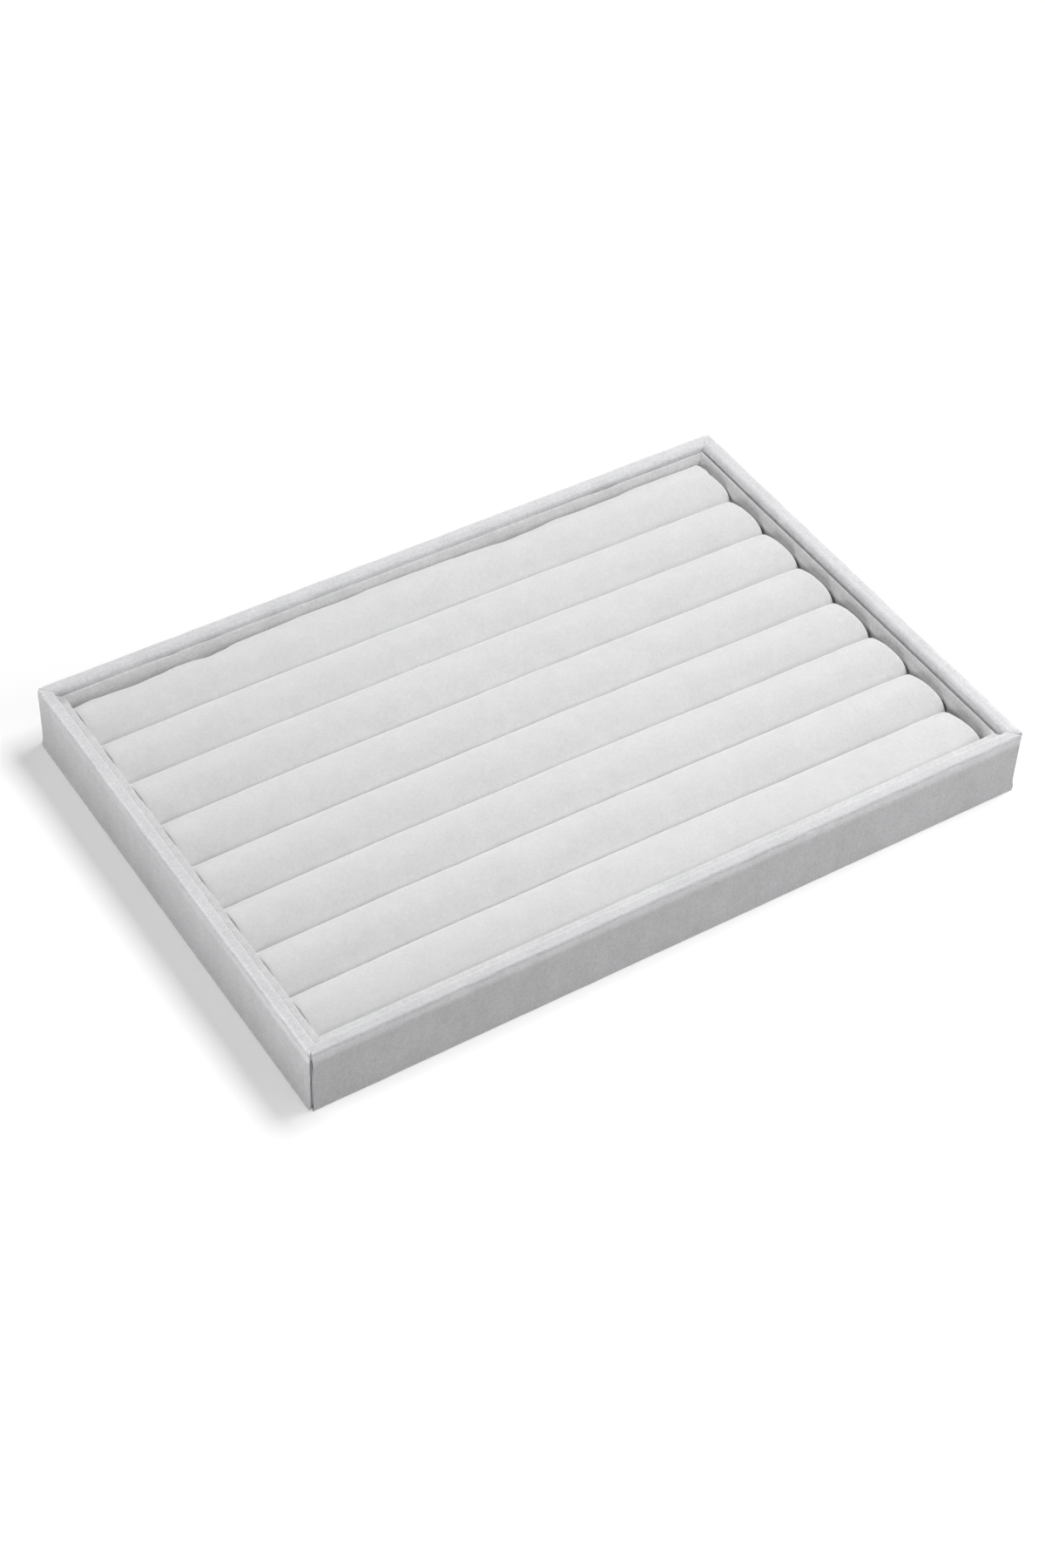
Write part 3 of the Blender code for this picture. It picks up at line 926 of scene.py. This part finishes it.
def wall_light_and_shade(tree, coordinates, colour):
    """Colour of the walls, with painted light and shade of their own on the outer faces, inner faces
    and rim.
    """
    place = parts_of(tree, coordinates)
    depth = depth_node(tree, place)
    top = eased(tree, place["Z"], FOLD_EDGE_LOW, FOLD_EDGE_HIGH, 0.0, 1.0)
    change = outer_painted_light_and_shade(tree, coordinates, place, top)
    outside = eased(tree, depth, FOLD_DEPTH, 2 * FOLD_DEPTH, 1.0, 0.0)
    share = joined(tree, 'MULTIPLY_ADD', change, outside, inner_painted_light(tree, place, depth))
    # Painted shade darkens the front wall's rim
    rim = from_face(tree, place, "Y", *RIM_DEPTHS, RIM_SHADE - 1, 0.0)
    share = joined(tree, 'MULTIPLY', share, joined(tree, 'MULTIPLY_ADD', top, rim, 1.0))
    return scaled(tree, colour, share)


def lining_light_and_shade(tree, coordinates, colour):
    """Colour of the linings, with painted shade over their tops and painted light and shade that differ
    on each side of the tray.
    """
    place = parts_of(tree, coordinates)
    normal = tree.nodes.new('ShaderNodeNewGeometry').outputs["Normal"]
    # Painted light on the faces and painted shade on the tops, by which way they face
    share = eased(tree, parts_of(tree, normal)["Z"], 0.0, 1.0, LINING_FACE_LIGHT, LINING_TOP_SHADE)
    near, far = SIDE_DEPTHS
    back = TRAY_WIDTH / 2
    end = TRAY_LENGTH / 2
    left = joined(tree, 'MULTIPLY', from_face(tree, place, "X", near, far, 1.0, 0.0),
                  eased(tree, place["Y"], back - far, back - near, 1.0, 0.0))
    paler = joined(tree, 'MAXIMUM', left, from_face(tree, place, "Y", near, far, 1.0, 0.0))
    change = joined(tree, 'MULTIPLY_ADD', paler, LINING_NEAR_LIGHT - 1, 1.0)
    # Painted shade on the right strip, low down and over its top
    low = eased(tree, place["Z"], LINING_LOW, LINING_LOW_END, LINING_LOW_SHADE - 1, 0.0)
    high = eased(tree, place["Z"], LINING_HIGH, LINING_HIGH_END, 0.0, LINING_HIGH_SHADE - 1)
    right = eased(tree, place["X"], end - far, end - near, 0.0, 1.0)
    change = joined(tree, 'MULTIPLY_ADD', joined(tree, 'ADD', low, high), right, change)
    return scaled(tree, colour, joined(tree, 'MULTIPLY', share, change))


def painted_edge_sheen(tree, colour):
    """Colour with painted sheen: paler where the pile is seen edge on."""
    facing = add_node(tree, 'ShaderNodeLayerWeight', {"Blend": 0.5}).outputs["Facing"]
    share = joined(tree, 'MULTIPLY_ADD', facing, GRAZE_SHEEN, 1 - GRAZE_SHEEN * GRAZE_REST)
    return scaled(tree, colour, share)


def shaded(colour, share):
    """Colour made darker, or paler, by a share."""
    return [min(1.0, channel * share) for channel in colour]


def velvet(name, colour, spread, fleck_share, sheen, stretch, relief, painted_shading=None):
    """Short velvet: lumps of nap of every size from patches down to fibres, a soft sheen from the
    shader, painted sheen where it is seen edge on, and any painted light and shade given.
    """
    material, tree, shader, coordinates = new_material(name)
    brushed = add_node(tree, 'ShaderNodeMapping', {
        "Vector": coordinates, "Scale": (1.0, 1.0, 1 / stretch),
    }).outputs["Vector"]
    nap = noise_node(tree, brushed, NAP_PATCH, detail=7.0, rough=0.85)
    flecks = noise_node(tree, coordinates, NAP_FLECK, detail=2.0, rough=0.7)
    pile = noise_node(tree, coordinates, NAP_PILE, detail=2.0, rough=0.6)
    cover = ramp_node(tree, blend_node(tree, nap, flecks, fleck_share),
                      shaded(colour, 1 - spread), shaded(colour, 1 + spread), low=0.35, high=0.65)
    if painted_shading:
        cover = painted_shading(tree, coordinates, cover)
    tree.links.new(painted_edge_sheen(tree, cover), shader.inputs["Base Color"])
    soft = bump_node(tree, flecks, FLECK_RELIEF, relief)
    tree.links.new(bump_node(tree, pile, PILE_RELIEF, relief, soft), shader.inputs["Normal"])
    shader.inputs["Roughness"].default_value = 0.92
    shader.inputs["Specular IOR Level"].default_value = 0.2
    shader.inputs["Sheen Weight"].default_value = sheen
    shader.inputs["Sheen Roughness"].default_value = 0.35
    return material


def pressed_felt(name, colour):
    """Pressed felt: matted fibres of slightly different greys."""
    material, tree, shader, coordinates = new_material(name)
    fibres = noise_node(tree, coordinates, FELT_FIBRE, detail=5.0, rough=0.7)
    patches = noise_node(tree, coordinates, FELT_PATCH)
    tone = blend_node(tree, fibres, patches, share=0.4)
    tree.links.new(ramp_node(tree, tone, shaded(colour, 0.7), shaded(colour, 1.2)),
                   shader.inputs["Base Color"])
    tree.links.new(bump_node(tree, fibres, FELT_RELIEF, strength=0.7), shader.inputs["Normal"])
    shader.inputs["Roughness"].default_value = 1.0
    shader.inputs["Specular IOR Level"].default_value = 0.1
    shader.inputs["Sheen Weight"].default_value = 0.2
    return material


def board(name, dark, light, fibre, stretch):
    """Pressed board: flecks of fibre, longer along the sheet by stretch."""
    material, tree, shader, coordinates = new_material(name)
    longer = add_node(tree, 'ShaderNodeMapping', {
        "Vector": coordinates, "Scale": (1 / stretch, 1.0, 1.0),
    }).outputs["Vector"]
    flecks = noise_node(tree, longer, fibre, detail=5.0, rough=0.7)
    clouds = noise_node(tree, coordinates, BOARD_CLOUDS_PER_FIBRE * fibre)
    tone = blend_node(tree, flecks, clouds, share=0.3)
    tree.links.new(ramp_node(tree, tone, dark, light), shader.inputs["Base Color"])
    tree.links.new(bump_node(tree, flecks, BOARD_RELIEF, strength=0.5), shader.inputs["Normal"])
    shader.inputs["Roughness"].default_value = 0.85
    shader.inputs["Specular IOR Level"].default_value = 0.3
    return material


def cells(name, colour):
    """Open-cell foam: small pores, darkened in their middles with painted shade."""
    material, tree, shader, coordinates = new_material(name)
    pores = add_node(tree, 'ShaderNodeTexVoronoi', {
        "Vector": coordinates, "Scale": 1 / FOAM_CELL,
    }).outputs["Distance"]
    tree.links.new(ramp_node(tree, pores, shaded(colour, 0.7), colour, low=0.1, high=0.5),
                   shader.inputs["Base Color"])
    tree.links.new(bump_node(tree, pores, FOAM_RELIEF, strength=0.6), shader.inputs["Normal"])
    shader.inputs["Roughness"].default_value = 0.95
    return material


def make_materials():
    """A procedural finish for each of the record's material slots."""
    return {
        "wall_velvet": velvet("wall_velvet", (0.70, 0.70, 0.713), spread=0.13, fleck_share=0.5,
                              sheen=0.90, stretch=2.0, relief=0.8, painted_shading=wall_light_and_shade),
        "lining_velvet": velvet("lining_velvet", (0.60, 0.60, 0.606), spread=0.13,
                                fleck_share=0.5, sheen=0.60, stretch=1.5, relief=0.6,
                                painted_shading=lining_light_and_shade),
        "roll_velvet": velvet("roll_velvet", (0.70, 0.70, 0.703), spread=0.065, fleck_share=0.45,
                              sheen=0.90, stretch=1.0, relief=0.45),
        "floor_velvet": velvet("floor_velvet", (0.62, 0.62, 0.625), spread=0.08,
                               fleck_share=0.35, sheen=0.30, stretch=1.0, relief=0.4),
        "felt": pressed_felt("felt", (0.27, 0.27, 0.28)),
        "fibreboard": board("fibreboard", (0.30, 0.20, 0.12), (0.50, 0.38, 0.25),
                            FIBREBOARD_FIBRE, stretch=4.0),
        "greyboard": board("greyboard", (0.28, 0.265, 0.24), (0.42, 0.40, 0.37),
                           GREYBOARD_FIBRE, stretch=2.0),
        "foam": cells("foam", (0.78, 0.77, 0.72)),
    }


def dress_nodes(frame, materials):
    """Give every node of the frame the finish of its slot."""
    for part in frame["record"]["subparts"]:
        for slot in frame["nodes"][part["node"]].material_slots:
            slot.material = materials[part["material_slot"]]


def direction(azimuth, elevation):
    """Unit vector at an azimuth, from the front round to the right, and an elevation."""
    return Vector((sin(azimuth) * cos(elevation), -cos(azimuth) * cos(elevation),
                   sin(elevation)))


def add_camera():
    """Camera at the photograph's angle, rolled a little about its own axis."""
    back = direction(CAMERA_AZIMUTH, CAMERA_ELEVATION)
    level = Vector((0.0, 0.0, 1.0)).cross(back).normalized()
    upright = back.cross(level)
    right = level * cos(CAMERA_ROLL) + upright * sin(CAMERA_ROLL)
    up = upright * cos(CAMERA_ROLL) - level * sin(CAMERA_ROLL)
    data = bpy.data.cameras.new("camera")
    data.lens = CAMERA_LENS
    data.sensor_width = CAMERA_SENSOR
    camera = bpy.data.objects.new("camera", data)
    turned = Matrix((right, up, back)).transposed().to_4x4()
    camera.matrix_world = Matrix.Translation(CAMERA_TARGET + back * CAMERA_DISTANCE) @ turned
    bpy.context.scene.collection.objects.link(camera)
    bpy.context.scene.camera = camera


def add_softboxes():
    """Large soft lights round the tray, each turned to its middle."""
    for name, (azimuth, elevation, distance, width, height, power) in SOFTBOXES.items():
        data = bpy.data.lights.new(name, 'AREA')
        data.shape = 'RECTANGLE'
        data.size = width
        data.size_y = height
        data.energy = power
        towards = direction(radians(azimuth), radians(elevation))
        light = bpy.data.objects.new(name, data)
        light.rotation_mode = 'QUATERNION'
        light.rotation_quaternion = towards.to_track_quat('Z', 'Y')
        light.location = towards * distance
        bpy.context.scene.collection.objects.link(light)


def add_floor():
    """Pale floor that glows a little to the camera, and more so further away."""
    material, tree, shader, coordinates = new_material("studio_floor")
    seen = tree.nodes.new('ShaderNodeLightPath').outputs["Is Camera Ray"]
    tone = joined(tree, 'MULTIPLY_ADD', seen, FLOOR_SEEN_TONE - FLOOR_TONE, FLOOR_TONE)
    tree.links.new(tone, shader.inputs["Base Color"])
    shader.inputs["Roughness"].default_value = 1.0
    shader.inputs["Specular IOR Level"].default_value = 0.0
    shader.inputs["Emission Color"].default_value = WHITE
    distance = add_node(tree, 'ShaderNodeVectorMath', {0: coordinates},
                        operation='LENGTH').outputs["Value"]
    glow = eased(tree, distance, FLOOR_NEAR, FLOOR_FAR, FLOOR_GLOW, FLOOR_FAR_GLOW)
    tree.links.new(joined(tree, 'MULTIPLY', seen, glow), shader.inputs["Emission Strength"])
    shape = bmesh.new()
    bmesh.ops.create_grid(shape, x_segments=4, y_segments=4, size=FLOOR_HALF)
    mesh = bpy.data.meshes.new("studio_floor")
    shape.to_mesh(mesh)
    shape.free()
    mesh.materials.append(material)
    floor = bpy.data.objects.new("studio_floor", mesh)
    bpy.context.scene.collection.objects.link(floor)


def add_backdrop():
    """White round the floor, which only the camera sees."""
    world = bpy.data.worlds.new("studio")
    world.use_nodes = True
    background = world.node_tree.nodes["Background"]
    background.inputs["Color"].default_value = WHITE
    seen = world.node_tree.nodes.new('ShaderNodeLightPath').outputs["Is Camera Ray"]
    world.node_tree.links.new(seen, background.inputs["Strength"])
    bpy.context.scene.world = world


def add_studio():
    """Pale floor, white backdrop, soft light and plain colours."""
    view = bpy.context.scene.view_settings
    view.view_transform = 'Standard'
    view.look = 'None'
    add_backdrop()
    add_floor()
    add_softboxes()


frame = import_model()
materials = make_materials()
dress_nodes(frame, materials)
make_strips(materials)
make_sheets(materials)
make_rolls(materials)
add_camera()
add_studio()
